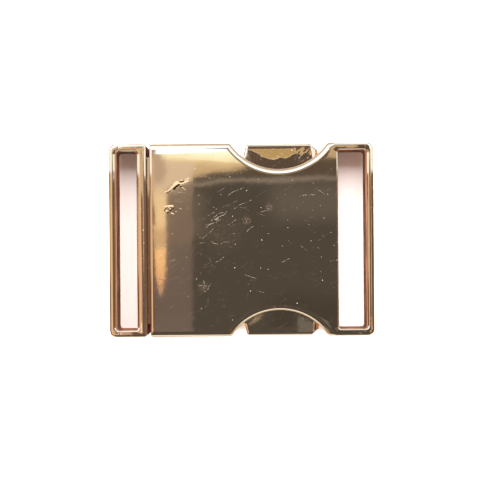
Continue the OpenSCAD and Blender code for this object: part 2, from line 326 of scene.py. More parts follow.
ceiling_patches = [  # a colour or a run, the softness of the edges, and the corners clockwise
    ((99, 87, 73), 26, (272, 184), (350, 184), (350, 218), (272, 218)),
    ((100, 86, 71), 16, (180, 192), (205, 192), (205, 236), (180, 236)),
    ((72, 62, 50), 26, (270, 296), (350, 296), (350, 360), (270, 360)),
    (right_run, 3, (190, -160), (460, -160), (460, 174.5), (190, 174.5)),
    ((88, 73, 57), 3, (190, 170), (252, 170), (252, 174.5), (190, 181)),
    ((139, 121, 99), 3, (188, 182), (234, 178.8), (234, 182.8), (188, 186.4)),
    ((138, 119, 100), 4.5, (226, 179.4), (252, 176.2), (366, 176.2), (366, 183.2), (252, 182.4),
     (226, 183.2)),
    (glow_run, 4.5, (60, -160), (162, -160), (243, 140), (246.5, 158), (247, 166.5), (192, 176.5),
     (60, 178)),
    (margin_run, 1.4, (60, 178), (192.7, 178), (192.7, 470), (60, 470)),
    ((216, 184, 146), 3.5, (100, 161), (192.7, 161), (192.7, 179), (188, 182), (165.5, 191.5), (100, 193)),
    ((186, 155, 123), 8, (140, 151), (158, 151), (166, 168), (163, 184), (140, 184)),
    (warm_run, 1.6, (150, 187), (165.8, 190), (165.8, 255), (164.8, 275), (162.2, 289), (159.6, 299),
     (157.2, 289), (155.4, 275), (153, 250), (151, 222)),
    (left_run, 1, (126, 100), (153.4, 100), (153.4, 400), (126, 400)),
    (end_run, 3, (40, 130), (129, 130), (129, 400), (40, 400)),
    ((192, 160, 118), 4, (318, 96), (356, 96), (356, 158), (318, 158)),
    ((94, 66, 46), 2, (355, 96), (368, 96), (368, 154), (355, 154)),
    ((112, 100, 84), 1.2, (297, 313.5), (316.5, 325), (318, 420), (301, 420))]
for px, py in ((248.5, 322.5), (252, 321.5), (255.5, 318.5)):
    ceiling_patches.append(((190, 158, 118), 0.8, (px, py), (px + 6.5, py - 6), (px + 7.2, py - 5),
                            (px + 1.2, py + 1.5)))
for px in (100, 365):
    ceiling_patches.append(((255, 240, 205), 2, (px, 323), (px + 19, 323), (px + 19, 340), (px, 340)))
ceiling_patches.append(((100, 72, 46), 1.5, (366, 158), (460, 158), (460, 322), (366, 322)))


def inside(tree, place, soft, corners):
    """1 inside these corners, with soft edges."""
    cover = 1.0
    for (x0, y0), (x1, y1) in zip(corners, corners[1:] + corners[:1]):
        run = math.hypot(x1 - x0, y1 - y0)
        inward = ((y0 - y1) / run, (x1 - x0) / run, 0)
        edge = x0 * inward[0] + y0 * inward[1]
        depth = vectors(tree, "DOT_PRODUCT", place, inward)
        cover = both(tree, cover, soft_step(tree, depth, edge - soft / 2, edge + soft / 2))
    return cover


def paint_ceiling(tree):
    at = add(tree, "ShaderNodeAttribute", {"attribute_name": "photo_pixel"}).outputs["Vector"]
    down = add(tree, "ShaderNodeSeparateXYZ", _0=at).outputs[1]
    seen = linear(*dark_panel)
    for paint, soft, *corners in ceiling_patches:
        over = ramp(tree, down, paint) if isinstance(paint, list) else linear(*paint)
        seen = layered(tree, inside(tree, at, soft, corners), seen, over)
    return seen


def from_camera(px, py, depth):
    """The place, this far below the camera, that the camera sees at this photo pixel."""
    middle = photo_width / 2
    away = Matrix.Rotation(roll, 2) @ Vector((px - middle, middle - py)) * pixel * depth / camera_up
    return away.x + under_camera[0], away.y + under_camera[1]


ceiling_pixels = [(70, -60, 0), (415, -60, 0), (415, 430, 0), (70, 430, 0)]
ceiling_points = [(*from_camera(px, py, camera_up + ceiling_up), body_t + ceiling_up)
                  for px, py, _ in ceiling_pixels]
ceiling = mirrored("ceiling", ceiling_points, [(0, 1, 2, 3)], paint_ceiling)
marks = ceiling.data.attributes.new("photo_pixel", "FLOAT_VECTOR", "POINT")
for mark, place in zip(marks.data, ceiling_pixels):
    mark.vector = place


# Housing: the female half, one zinc die casting, rose gold plated and polished. A front and a back
# plate, two side walls with catches and an end bar; the socket is open at the mouth and scallops.
half_w = 21.2
mouth_x = -20.1
strap_x = 21.2
bar_x = 27.4
end_x = 29.05
slot_half = 19.65
socket_y = 18.65
socket_end = 19.0
socket_z0 = 1.5
socket_z1 = 7.3
scallop_x = 8.26
scallop_y = 28.3
scallop_r = 12.8
scallop_ease = 0.8
mouth_corner = 0.65
end_corner = 1.5
catch = [(-7.2, 18.65), (-4.68, 17.4), (-2.87, 17.4), (-3.0, 18.65)]

front_round = 1.35
back_round = 0.9
mouth_round = 0.6
plate_round = 0.3
bar_round = 0.74
rail_round = 0.35
rail_edge = 0.6
rail_start = 20.6
flatness = 0.62
slot_corner = 0.6
broken_edge = 0.15
edge_steps = 8
corner_steps = 8
least_corner = 0.1


def arc(cx, cy, radius, start, stop, fractions):
    """Points on an arc at these fractions of its way, angles in degrees."""
    points = []
    for f in fractions:
        a = math.radians(start + (stop - start) * f)
        points.append((cx + radius * math.cos(a), cy + radius * math.sin(a)))
    return points


def even(steps, *extra):
    """Fractions from 0 to 1 in even steps, with these in place of their neighbours."""
    kept = [k / steps for k in range(steps + 1)
            if all(abs(k / steps - e) > 0.3 / steps for e in extra)]
    return sorted(kept + list(extra))


def blended(points, r0, r1):
    """These points with a rounding that goes from r0 to r1 along them."""
    last = len(points) - 1
    return [(x, y, r0 + (r1 - r0) * k / last) for k, (x, y) in enumerate(points)]


def housing_outline(mouth, side, rail, end):
    """The plan from the mouth over the scallop to the end bar, drawn in from each edge."""
    near = max(mouth_corner - (mouth + side) / 2, least_corner)
    far = max(end_corner - (rail + end) / 2, least_corner)
    ease = max(scallop_ease - side, least_corner)
    reach = scallop_r + side + ease
    rise = scallop_y - half_w + side + ease
    run = math.sqrt(reach ** 2 - rise ** 2)
    along = math.degrees(math.atan2(rise, run))
    wide = half_w - side
    points = [(mouth_x + mouth, socket_y, mouth)]
    points += blended(arc(mouth_x + mouth + near, wide - near, near, 180, 90, even(corner_steps)),
                      mouth, side)
    rest = arc(scallop_x - run, wide - ease, ease, 90, along, even(5))
    bite = even(44, window_start)[1:-1]
    window = len(points) + len(rest) + bite.index(window_start)
    rest += arc(scallop_x, scallop_y, scallop_r + side, 180 + along, 360 - along, bite)
    close = even(5, window_stop)
    shut = len(points) + len(rest) + close.index(window_stop)
    rest += arc(scallop_x + run, wide - ease, ease, 180 - along, 90, close)
    points += [(x, y, side) for x, y in rest]
    points.append((rail_start, half_w - rail, rail))
    points += blended(arc(end_x - end - far, half_w - rail - far, far, 90, 0, even(corner_steps)),
                      rail, end)
    return points, window, shut


reach = scallop_r + scallop_ease
rise = scallop_y - half_w + scallop_ease
run = math.sqrt(reach ** 2 - rise ** 2)
along = math.degrees(math.atan2(rise, run))
window_start = (math.degrees(math.asin((scallop_y - socket_y) / scallop_r)) - along) / (180 - 2 * along)
window_stop = (180 - along - math.degrees(math.acos((socket_end - scallop_x - run) / scallop_ease))) \
    / (90 - along)


def all_round(half):
    return half + [(x, -y, r) for x, y, r in reversed(half)]


def slot_outline(x0, x1, near, rail, far):
    """A strap slot's plan, grown by each edge's rounding."""
    def corner_r(a, b):
        return slot_corner + (a + b) / 2
    left, right, top = x0 - near, x1 + far, slot_half + rail
    r0, r1 = corner_r(near, rail), corner_r(rail, far)
    half = blended(arc(left + r0, top - r0, r0, 180, 90, even(6)), near, rail)
    half += blended(arc(right - r1, top - r1, r1, 90, 0, even(6)), rail, far)
    return all_round(half)


def rolled(bm, wall, land, face, way, depth=1.0):
    """Loops of vertices that roll from a wall over its rounded edge on to a flat face."""
    loops = []
    for step in range(edge_steps + 1):
        a = math.pi / 2 * step / edge_steps
        loops.append([bm.verts.new(Vector((lx + (wx - lx) * math.cos(a),
                                           ly + (wy - ly) * math.cos(a),
                                           face - way * r * depth * (1 - math.sin(a)))) * mm)
                      for (wx, wy, _), (lx, ly, r) in zip(wall, land)])
    return loops


def level(bm, outline, z):
    return [bm.verts.new(Vector((p[0], p[1], z)) * mm) for p in outline]


def skin(bm, loops, skip=()):
    """Faces between neighbouring loops, but for the skipped columns."""
    for a, b in zip(loops, loops[1:]):
        for i in range(len(a)):
            if i not in skip:
                j = (i + 1) % len(a)
                bm.faces.new((a[i], a[j], b[j], b[i]))


def land(bm, *loops):
    """A flat face inside the first loop and outside the others."""
    edges = []
    for loop in loops:
        for a, b in zip(loop, loop[1:] + loop[:1]):
            edges.append(bm.edges.get((a, b)) or bm.edges.new((a, b)))
    bmesh.ops.triangle_fill(bm, use_beauty=True, use_dissolve=False, edges=edges)


def built(bm, name, material):
    bmesh.ops.recalc_face_normals(bm, faces=bm.faces)
    mesh = bpy.data.meshes.new(name)
    bm.to_mesh(mesh)
    bm.free()
    mesh.materials.append(material)
    mesh.shade_smooth()
    thing = bpy.data.objects.new(name, mesh)
    bpy.context.scene.collection.objects.link(thing)
    return thing


def bake(thing):
    """Its modifiers' result in place of its mesh."""
    depsgraph = bpy.context.evaluated_depsgraph_get()
    mesh = bpy.data.meshes.new_from_object(thing.evaluated_get(depsgraph))
    mesh.name = thing.name
    thing.modifiers.clear()
    thing.data = mesh


def combine(thing, other, operation):
    """Joins or cuts with another closed mesh, which is then gone."""
    step = thing.modifiers.new(operation.lower(), "BOOLEAN")
    step.operation = operation
    step.solver = "EXACT"
    step.object = other
    bake(thing)
    bpy.data.objects.remove(other)


def polished(thing):
    """The last step of each casting: its flats shade flat and its rounded edges shade round."""
    carried = thing.data.attributes.get("custom_normal")
    if carried:
        thing.data.attributes.remove(carried)
    thing.data.set_sharp_from_angle(angle=math.radians(25))
    weigh = thing.modifiers.new("flat_normals", "WEIGHTED_NORMAL")
    weigh.keep_sharp = True
    bake(thing)


# The plate's scratches that the photograph shows, by its pixels: a dragged knock at the left, scuffs,
# short wiping marks that mostly rise to the right, and their half widths in mm. The knock's lit edges
# are painted pale as painted highlight and its shaded edges near black as painted shade.
named_scratches = [
    (0.021, (227.9, 195.4), (235, 191), (243.3, 187.7)), (0.021, (234.2, 207.7), (251, 200.7)),
    (0.028, (211, 220.7), (216.7, 219.3), (219.5, 215.8), (224.4, 214.4), (227.9, 210.9)),
    (0.022, (213.5, 217.5), (218.5, 213.2), (223, 211.8)), (0.022, (215.4, 223), (220.4, 218.6)),
    (0.019, (206, 225), (213, 222.8)), (0.021, (198.4, 236.8), (201.9, 238.2), (208.9, 233.3), (213, 229)),
    (0.023, (209.6, 241.4), (220.2, 245.3), (223.7, 241.8), (230, 241.8)),
    (0.019, (196.3, 243.9), (204.7, 242.5)), (0.021, (288.5, 241), (292, 243.7)),
    (0.019, (205, 229.6), (209.6, 224.6), (214.6, 222.6)), (0.017, (228, 225.4), (236, 218.8)),
    (0.021, (301.5, 245.5), (305, 249.5), (310, 252)),
    (0.021, (242.3, 273.3), (248, 276.6), (255.3, 277.9)),
    (0.019, (257, 291), (264.5, 292.7)), (0.021, (316.3, 189), (325.5, 194.7)),
    (0.019, (299.6, 195.6), (314.4, 194.7)), (0.019, (169.3, 260.3), (174.9, 260.3)),
    (0.017, (258, 214), (266, 209.5)), (0.017, (246, 232), (254, 226)), (0.017, (282, 262), (291, 258)),
    (0.017, (216, 262), (224, 257)), (0.014, (330, 262), (341, 259)),
    (0.022, (203.4, 281), (204.2, 289.4)), (0.022, (199, 285.4), (206, 286.4)),
    (0.022, (207.6, 290), (210.4, 284))]
# The knock's lit edges, painted pale as a painted highlight: half width in mm, then pixels
painted_knock_glints = [
    (0.06, (164.4, 192.2), (169, 189.4)), (0.11, (169, 189.2), (173.3, 185.8)),
    (0.17, (174.6, 184.4), (177.6, 182.8)), (0.11, (177.6, 182.8), (179.8, 183.1)),
    (0.1, (181, 183.6), (184.2, 181.8), (187.9, 180.7)), (0.06, (185, 179.5), (188.1, 178.2)),
    (0.04, (181.9, 187.2), (185.8, 189.9)), (0.09, (164.9, 207), (168.7, 205.6)),
    (0.11, (168.7, 205.6), (172.7, 206.3)), (0.07, (168.5, 207.6), (170.6, 209.2)),
    (0.05, (166.7, 210.9), (169.4, 211.7)), (0.08, (171.4, 213.8), (173.1, 214.6)),
    (0.05, (175.5, 211.9), (176, 211.3)), (0.04, (179.2, 208.2), (181.1, 208.6))]
# The knock's shaded edges, painted near black as a painted shade: half width in mm, then pixels
painted_knock_shades = [
    (0.15, (173.9, 189.3), (175.7, 187.1), (179.3, 185.1)), (0.1, (180.7, 181.6), (183.4, 180.8)),
    (0.08, (180.3, 187.4), (183, 186.3)), (0.05, (166, 193), (170.4, 190.9)),
    (0.08, (164.9, 210.9), (166.7, 208.6)), (0.08, (167.6, 213.4), (170.6, 211.2)),
    (0.07, (170.6, 210.4), (173.4, 208.4))]
scuffed_spots = [  # pixel, radius in pixels, how much
    (217, 219, 3.2, 0.6), (246.5, 220.5, 6.5, 0.28), (203, 287, 7.5, 0.2), (269, 207.6, 5.5, 0.3),
    (225, 230, 30, 0.08)]

stroke = bpy.data.node_groups.new("scratch_stroke", "ShaderNodeTree")
for label, kind in (("Place", "NodeSocketVector"), ("From", "NodeSocketVector"), ("To", "NodeSocketVector"),
                    ("Half width", "NodeSocketFloat"), ("Before", "NodeSocketFloat")):
    stroke.interface.new_socket(label, in_out="INPUT", socket_type=kind)
stroke.interface.new_socket("Scratched", in_out="OUTPUT", socket_type="NodeSocketFloat")
given = stroke.nodes.new("NodeGroupInput").outputs
from_start = vectors(stroke, "SUBTRACT", given["Place"], given["From"])
run_of = vectors(stroke, "SUBTRACT", given["To"], given["From"])
share = maths(stroke, "DIVIDE", vectors(stroke, "DOT_PRODUCT", from_start, run_of),
              vectors(stroke, "DOT_PRODUCT", run_of, run_of))
held = add(stroke, "ShaderNodeClamp", Value=share).outputs[0]
nearest = add(stroke, "ShaderNodeVectorMath", {"operation": "SCALE"}, _0=run_of, Scale=held).outputs[0]
away = vectors(stroke, "DISTANCE", from_start, nearest)
mark = soft_step(stroke, maths(stroke, "DIVIDE", away, given["Half width"]), 0.5, 1.6, 1.0, 0.0)
stroke.links.new(maths(stroke, "MAXIMUM", mark, given["Before"]),
                 stroke.nodes.new("NodeGroupOutput").inputs["Scratched"])


def struck(tree, place, strokes, before):
    """1 on these strokes, over the mask before them."""
    for half, *way in strokes:
        for start, stop in zip(way, way[1:]):
            line = add(tree, "ShaderNodeGroup", {"node_tree": stroke}, Place=place, Half_width=half,
                       From=(*from_camera(*start, camera_up), 0), To=(*from_camera(*stop, camera_up), 0),
                       Before=before)
            before = line.outputs[0]
    return before


def hairlines(tree, place, slant, length, width, share, seed):
    """Short fine scratches scattered at one slant: 1 on a scratch and 0 beside it."""
    turned = add(tree, "ShaderNodeMapping", Vector=place, Rotation=(0, 0, -math.radians(slant)),
                 Location=(seed, 1.7 * seed, 0)).outputs[0]
    cell = add(tree, "ShaderNodeTexVoronoi", {"voronoi_dimensions": "2D"}, Scale=1.0,
               Vector=vectors(tree, "DIVIDE", turned, (length, width, 1)))
    chance = add(tree, "ShaderNodeSeparateColor", _0=cell.outputs["Color"]).outputs
    fine = soft_step(tree, cell.outputs["Distance"], 0.2, 0.36, 1.0, 0.0)
    faint = soft_step(tree, chance[1], 0.0, 1.0, 0.3, 1.0)
    return both(tree, fine, maths(tree, "LESS_THAN", chance[0], share), faint)


# Rose gold plate: a mirror with wiping scratches, scuffs, dust and a slight casting wave. Scratches and
# scuffs are painted paler as a painted highlight, and a knock's edges are painted pale and dark as its
# highlight and shade. The walls inside the strap slots are left rough from the mould and painted redder
# and darker, partly as painted shade; the gap at the mouth is painted dark maroon as painted shade.
polish = 0.03
wiping_marks = [  # slant in degrees, length and width in mm, share of the places, seed
    (33, 6.0, 0.045, 0.010, 3.1), (22, 4.0, 0.04, 0.010, 8.7), (-12, 4.5, 0.045, 0.004, 15.2),
    (74, 3.5, 0.045, 0.003, 21.9)]
slot_spans = [(21.1, 27.5), (-27.6, -22.9)]
gap_span = (-20.92, -20.06)
# Slot wall colours in streaks: rough cast grain, darkened as a painted shade of the deep slots
slot_wall_grain_and_shade = [(0.36, (64, 40, 27)), (0.5, (108, 70, 50)), (0.64, (150, 103, 76))]
# Painted shade: dark maroon for the surfaces down in the gap between the tongue frame and the mouth
gap_painted_shade = (0.09, 0.025, 0.025, 1)
# Paler colour for scratches and scuffs: a painted highlight of the light they catch
scratch_painted_glint = (1.0, 0.86, 0.7, 1)
# Colours of the knock's painted shade and its painted highlight
painted_knock_shade = (0.008, 0.005, 0.002, 1)
painted_knock_glint = (0.22, 0.19, 0.11, 1)
pale_dust = (0.9, 0.87, 0.82, 1)


def rose_gold(name, tint, wave, peel, marked=False):
    material = new_material(name)
    tree = material.node_tree
    where = add(tree, "ShaderNodeTexCoord").outputs
    place = add(tree, "ShaderNodeVectorMath", {"operation": "SCALE"}, _0=where["Object"],
                Scale=1000.0).outputs[0]
    x, y, z = add(tree, "ShaderNodeSeparateXYZ", _0=place).outputs
    off_middle = maths(tree, "ABSOLUTE", x)
    across = maths(tree, "ABSOLUTE", y)
    upward = add(tree, "ShaderNodeSeparateXYZ", _0=where["Normal"]).outputs[2]
    on_flat = soft_step(tree, maths(tree, "ABSOLUTE", upward), 0.5, 0.8)
    bend = add(tree, "ShaderNodeTexNoise", Vector=place, Scale=0.7, Detail=2.0)
    shift = vectors(tree, "SUBTRACT", bend.outputs[1], (0.5, 0.5, 0.5))
    bent = vectors(tree, "ADD", place, vectors(tree, "MULTIPLY", shift, (0.8, 0.8, 0)))
    level_place = vectors(tree, "MULTIPLY", bent, (1, 1, 0))
    grime = noise(tree, place, 3.2, 4.0, 0.75)

    scratched = 0.0
    for mark in wiping_marks:
        scratched = either(tree, scratched, hairlines(tree, bent, *mark))
    scratched = maths(tree, "MULTIPLY", scratched, 0.5)
    hazy = 0.0
    if marked:
        scratched = struck(tree, level_place, named_scratches, scratched)
        broken = soft_step(tree, grime, 0.46, 0.6)
        for px, py, wide, much in scuffed_spots:
            centre = (*from_camera(px, py, camera_up), 0)
            away = vectors(tree, "DISTANCE", level_place, centre)
            spot = soft_step(tree, away, 0.25 * wide * pixel, wide * pixel, much, 0.0)
            hazy = either(tree, hazy, both(tree, spot, broken))
    gaps = noise(tree, place, 2.2, 3.0)
    scratched = both(tree, scratched, soft_step(tree, gaps, 0.44, 0.56, 0.1, 1.0))
    scratched = both(tree, either(tree, scratched, hazy), on_flat)

    fleck = add(tree, "ShaderNodeTexVoronoi", {"voronoi_dimensions": "2D"}, Vector=place, Scale=0.36)
    chance = add(tree, "ShaderNodeSeparateColor", _0=fleck.outputs["Color"]).outputs
    fleck_size = soft_step(tree, chance[1], 0.0, 1.0, 0.008, 0.024)
    speck = both(tree, maths(tree, "LESS_THAN", fleck.outputs["Distance"], fleck_size),
                 maths(tree, "LESS_THAN", chance[0], 0.82),
                 soft_step(tree, chance[2], 0.1, 0.9, 0.15, 0.75), on_flat)
    sunk = soft_step(tree, z, 8.3, 8.7, 1.0, 0.0)
    in_slot = either(tree, *[between(tree, x, *span, 0.1) for span in slot_spans])
    in_slot = both(tree, in_slot, soft_step(tree, across, 19.7, 19.85, 1.0, 0.0), sunk)
    # The surfaces sunk in the gap at the mouth, where the painted shade goes
    shaded_gap = both(tree, between(tree, x, *gap_span, 0.04), sunk, soft_step(tree, across, 18.4, 18.5))

    normal = bumped(tree, noise(tree, place, 0.12, 1.0), wave)
    normal = bumped(tree, noise(tree, place, 0.8, 2.0), peel, Normal=normal)
    on_bar = soft_step(tree, off_middle, 26.7, 27.0)
    on_rail = both(tree, soft_step(tree, across, 19.5, 19.7), soft_step(tree, off_middle, 20.6, 21.2))
    for drawn, stretch in ((on_bar, (1.7, 0.22, 1.7)), (on_rail, (0.3, 1.4, 1.4))):
        drag = noise(tree, vectors(tree, "MULTIPLY", place, stretch), 1.0, 1.0)
        normal = bumped(tree, drag, 0.02, drawn, Normal=normal)
    normal = bumped(tree, noise(tree, place, 7.0, 3.0), 0.02, in_slot, Normal=normal)
    normal = add(tree, "ShaderNodeBump", {"invert": True}, Strength=0.6, Distance=0.004 * mm,
                 Height=scratched, Normal=normal).outputs[0]

    smear = soft_step(tree, grime, 0.35, 0.75, polish, polish + 0.018)
    roughness = maths(tree, "ADD", smear, maths(tree, "MULTIPLY", scratched, 0.4))
    roughness = maths(tree, "ADD", roughness, maths(tree, "MULTIPLY", in_slot, 0.3))
    runs = noise(tree, vectors(tree, "MULTIPLY", place, (0.5, 0.14, 0.8)), 1.0, 2.0)
    # Slot walls take the darker streaked colour: cast grain, and painted shade inside the slots
    gold = layered(tree, in_slot, (*tint, 1), ramp(tree, runs, slot_wall_grain_and_shade))
    # Painted shade: the gap's sunk surfaces turn dark maroon and dull
    gold = layered(tree, shaded_gap, gold, gap_painted_shade)
    # Scratches and scuffs painted paler: real marks, their paleness a painted highlight
    gold = layered(tree, maths(tree, "MULTIPLY", scratched, 0.6), gold, scratch_painted_glint)
    dull = either(tree, speck, maths(tree, "MULTIPLY", in_slot, 0.9), shaded_gap,
                  maths(tree, "MULTIPLY", scratched, 0.12))
    # The knock's shaded edges painted dark as painted shade and its lit edges pale as painted highlight;
    # both lose their metal
    if marked:
        dark = struck(tree, level_place, painted_knock_shades, 0.0)
        bright = struck(tree, level_place, painted_knock_glints, 0.0)
        gold = layered(tree, maths(tree, "GREATER_THAN", dark, 0.0), gold, painted_knock_shade)
        gold = layered(tree, bright, gold, painted_knock_glint)
        dull = either(tree, dull, dark, bright)
    gold = layered(tree, speck, gold, pale_dust)
    metal = add(tree, "ShaderNodeBsdfPrincipled", Base_Color=gold, Roughness=roughness,
                Metallic=maths(tree, "SUBTRACT", 1.0, dull), Normal=normal)
    metal.inputs["Specular IOR Level"].default_value = 0.0
    add(tree, "ShaderNodeOutputMaterial", Surface=metal.outputs[0])
    return material


cast_gold = rose_gold("rose_gold_plate", gold_tint, 0.012, 0.0009, marked=True)

bm = bmesh.new()
rim = bm.edges.layers.float.new("bevel_weight_edge")
wall, window, shut = housing_outline(0, 0, 0, 0)
last_column = 2 * len(wall) - 1
wall = all_round(wall)
front_land = all_round(housing_outline(mouth_round, front_round, rail_edge, bar_round)[0])
back_land = all_round(housing_outline(mouth_round, back_round, back_round, bar_round)[0])
front = rolled(bm, wall, front_land, body_t, 1, flatness)
back = rolled(bm, wall, back_land, 0, -1)
high = level(bm, wall, socket_z1)
low = level(bm, wall, socket_z0)
open_columns = {*range(window, shut), *range(last_column - shut, last_column - window), last_column}
skin(bm, front)
skin(bm, [high, front[0]])
skin(bm, [low, high], skip=open_columns)
skin(bm, [back[0], low])
skin(bm, back)

slot_wall = slot_outline(strap_x, bar_x, 0, 0, 0)
slot_land = slot_outline(strap_x, bar_x, plate_round, rail_round, bar_round)
slot_front = rolled(bm, slot_wall, slot_land, body_t, 1)
slot_back = rolled(bm, slot_wall, slot_land, 0, -1)
skin(bm, slot_front)
skin(bm, [slot_back[0], slot_front[0]])
skin(bm, slot_back)
land(bm, front[-1], slot_front[-1])
land(bm, back[-1], slot_back[-1])

hollow = []
for z, loop in ((socket_z0, low), (socket_z1, high)):
    upper = [bm.verts.new(Vector((x, y, z)) * mm) for x, y in catch]
    lower = [bm.verts.new(Vector((x, -y, z)) * mm) for x, y in catch]
    hollow.append([loop[0]] + upper + loop[window:shut + 1]
                  + loop[last_column - shut:last_column - window + 1] + lower[::-1] + [loop[last_column]])
    bm.faces.new(hollow[-1])
for i in range(len(hollow[0]) - 1):
    a, b = hollow[0][i], hollow[0][i + 1]
    if not (a in low and b in low and abs(low.index(a) - low.index(b)) == 1):
        bm.faces.new((a, b, hollow[1][i + 1], hollow[1][i]))
for loop in (low, high):
    for i in open_columns:
        bm.edges.get((loop[i], loop[(i + 1) % len(loop)]))[rim] = 1
for i in (0, window, shut, last_column - shut, last_column - window, last_column):
    bm.edges.get((low[i], high[i]))[rim] = 1
housing = built(bm, "housing", cast_gold)
broken = housing.modifiers.new("broken_edges", "BEVEL")
broken.limit_method = "WEIGHT"
broken.width = broken_edge * mm
broken.segments = 4
bake(housing)
polished(housing)
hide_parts("female_housing")
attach(housing, "root")


# Tongue frame: the male half, cast and plated as the housing is. Its strap frame stands out at the
# left; the neck, the ears for the levers and the blade between them reach into the socket.
frame_x = -29.05
frame_slot_x = -27.5
land_x = -23.0
neck_x = -20.85
land_slot_round = 0.8
land_mouth_round = 0.6
shoulder_x = neck_x + 0.17
shoulder_y, shoulder_wide = 19.1, 2.4
shoulder_z, shoulder_high = 3.6, 5.0


def frame_outline(end, side, mouth):
    far = max(end_corner - (side + end) / 2, least_corner)
    near = max(mouth_corner - (mouth + side) / 2, least_corner)
    wide = half_w - side
    half = blended(arc(frame_x + end + far, wide - far, far, 180, 90, even(corner_steps)), end, side)
    half += blended(arc(neck_x - mouth - near, wide - near, near, 90, 0, even(corner_steps)),
                    side, mouth)
    return all_round(half)


bm = bmesh.new()
wall = frame_outline(0, 0, 0)
front = rolled(bm, wall, frame_outline(bar_round, rail_edge, land_mouth_round), body_t, 1, flatness)
back = rolled(bm, wall, frame_outline(bar_round, back_round, land_mouth_round), 0, -1)
skin(bm, front)
skin(bm, [back[0], front[0]])
skin(bm, back)
slot_wall = slot_outline(frame_slot_x, land_x, 0, 0, 0)
slot_land = slot_outline(frame_slot_x, land_x, bar_round, rail_round, land_slot_round)
slot_front = rolled(bm, slot_wall, slot_land, body_t, 1)
slot_back = rolled(bm, slot_wall, slot_land, 0, -1)
skin(bm, slot_front)
skin(bm, [slot_back[0], slot_front[0]])
skin(bm, slot_back)
land(bm, front[-1], slot_front[-1])
land(bm, back[-1], slot_back[-1])
tongue_frame = built(bm, "tongue_frame", cast_gold)


def cad_stub(node, name, x, keep_right, reach, material):
    """A copy of the part of a node on one side of x, its cut end drawn out by reach."""
    bm = bmesh.new()
    bm.from_mesh(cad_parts[node].data)
    bmesh.ops.remove_doubles(bm, verts=bm.verts, dist=1e-7)
    way = -1 if keep_right else 1
    done = bmesh.ops.bisect_plane(bm, geom=bm.verts[:] + bm.edges[:] + bm.faces[:], dist=1e-7,
                                  plane_co=(x * mm, 0, 0), plane_no=(way, 0, 0), clear_outer=True)
    rim = [e for e in done["geom_cut"] if isinstance(e, bmesh.types.BMEdge)]
    bmesh.ops.triangle_fill(bm, use_beauty=True, use_dissolve=False, edges=rim)
    for v in bm.verts:
        if abs(v.co.x - x * mm) < 1e-7:
            v.co.x += way * reach * mm
    return built(bm, name, material)


combine(tongue_frame, cad_stub("male_frame", "tongue", neck_x + 0.01, True, 0.8, cast_gold), "UNION")
for side in (-1, 1):
    bm = bmesh.new()
    bmesh.ops.create_cube(bm, size=1)
    for v in bm.verts:
        v.co = Vector((shoulder_x + v.co.x, (shoulder_y + shoulder_wide * v.co.y) * side,
                       shoulder_z + shoulder_high * v.co.z)) * mm
    combine(tongue_frame, built(bm, "shoulder", cast_gold), "UNION")
polished(tongue_frame)
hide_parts("male_frame")
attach(tongue_frame, "root")

# Release levers: one plated zinc casting on each side, turning on a pin in the tongue's ears. The
# button at its end stands in the scallop, and its face sags a little towards the outer edge.
mid_z = 4.4
lever_z0 = 1.75
lever_z1 = 7.05
lever_rows = [  # x, y, corner radius, rounding of the edge up to the next row
    (-13.3, 13.45, 0, 0.15), (17.11, 13.45, 0.7, 0.9), (17.11, 18.1, 0, 1.3),
    (16.91, 19.6, 0.35, 0.5), (15.41, 21.1, 0.35, 0.55), (1.06, 21.1, 0.7, 0.5),
    (0.46, 18.3, 0.35, 0.2), (-2.81, 18.3, 0.35, 0.15), (-2.69, 17.1, 0.35, 0.15),
    (-13.3, 17.1, 0.7, 0.12)]
eye_end = -13.31
eye_reach = 0.6
spring_x = 8.26
seat_r = 1.85
seat_start = 12.45
seat_end = 15.65
button_grid = 0.2
lip_y = 19.95
plain_sag_y = 19.0


def turned_outline(rows, inset):
    """A plan with rounded corners, each edge drawn in by its rounding times inset."""
    lines = []
    for (x0, y0, _, r), (x1, y1, _, _) in zip(rows, rows[1:] + rows[:1]):
        way = Vector((x1 - x0, y1 - y0)).normalized()
        lines.append((Vector((x0, y0)) + Vector((-way.y, way.x)) * r * inset, way, r * inset))
    points = []
    for (_, _, corner, _), (p0, w0, r0), (p1, w1, r1) in zip(rows, lines[-1:] + lines[:-1], lines):
        cross = w0.x * w1.y - w0.y * w1.x
        v = p0 + w0 * ((p1 - p0).x * w1.y - (p1 - p0).y * w1.x) / cross
        if not corner:
            points.append((v.x, v.y, (r0 + r1) / 2))
            continue
        drawn = (r0 + r1) / 2
        corner = max(corner - drawn, 0.05) if cross > 0 else corner + drawn
        u, w = -w0, w1
        half = math.acos(max(-1, min(1, u.dot(w)))) / 2
        centre = v + (u + w).normalized() * corner / math.sin(half)
        start = math.degrees(math.atan2(*(v + u * corner / math.tan(half) - centre).yx))
        stop = math.degrees(math.atan2(*(v + w * corner / math.tan(half) - centre).yx))
        stop = start + (stop - start + 180) % 360 - 180
        points += blended(arc(centre.x, centre.y, corner, start, stop, even(4)), r0, r1)
    return points


sag_line = [  # x, and the y where the button's face starts to fall away
    (0, 19.6), (2.3, 19.5), (3.1, 18.9), (4.1, 18.6), (4.35, 17.95), (5.5, 17.65), (7.4, 17.2), (8.7, 17.8),
    (10.1, 17.6), (11.0, 18.1), (11.7, 18.8), (13, 18.55), (14, 18.9), (18, 18.9)]


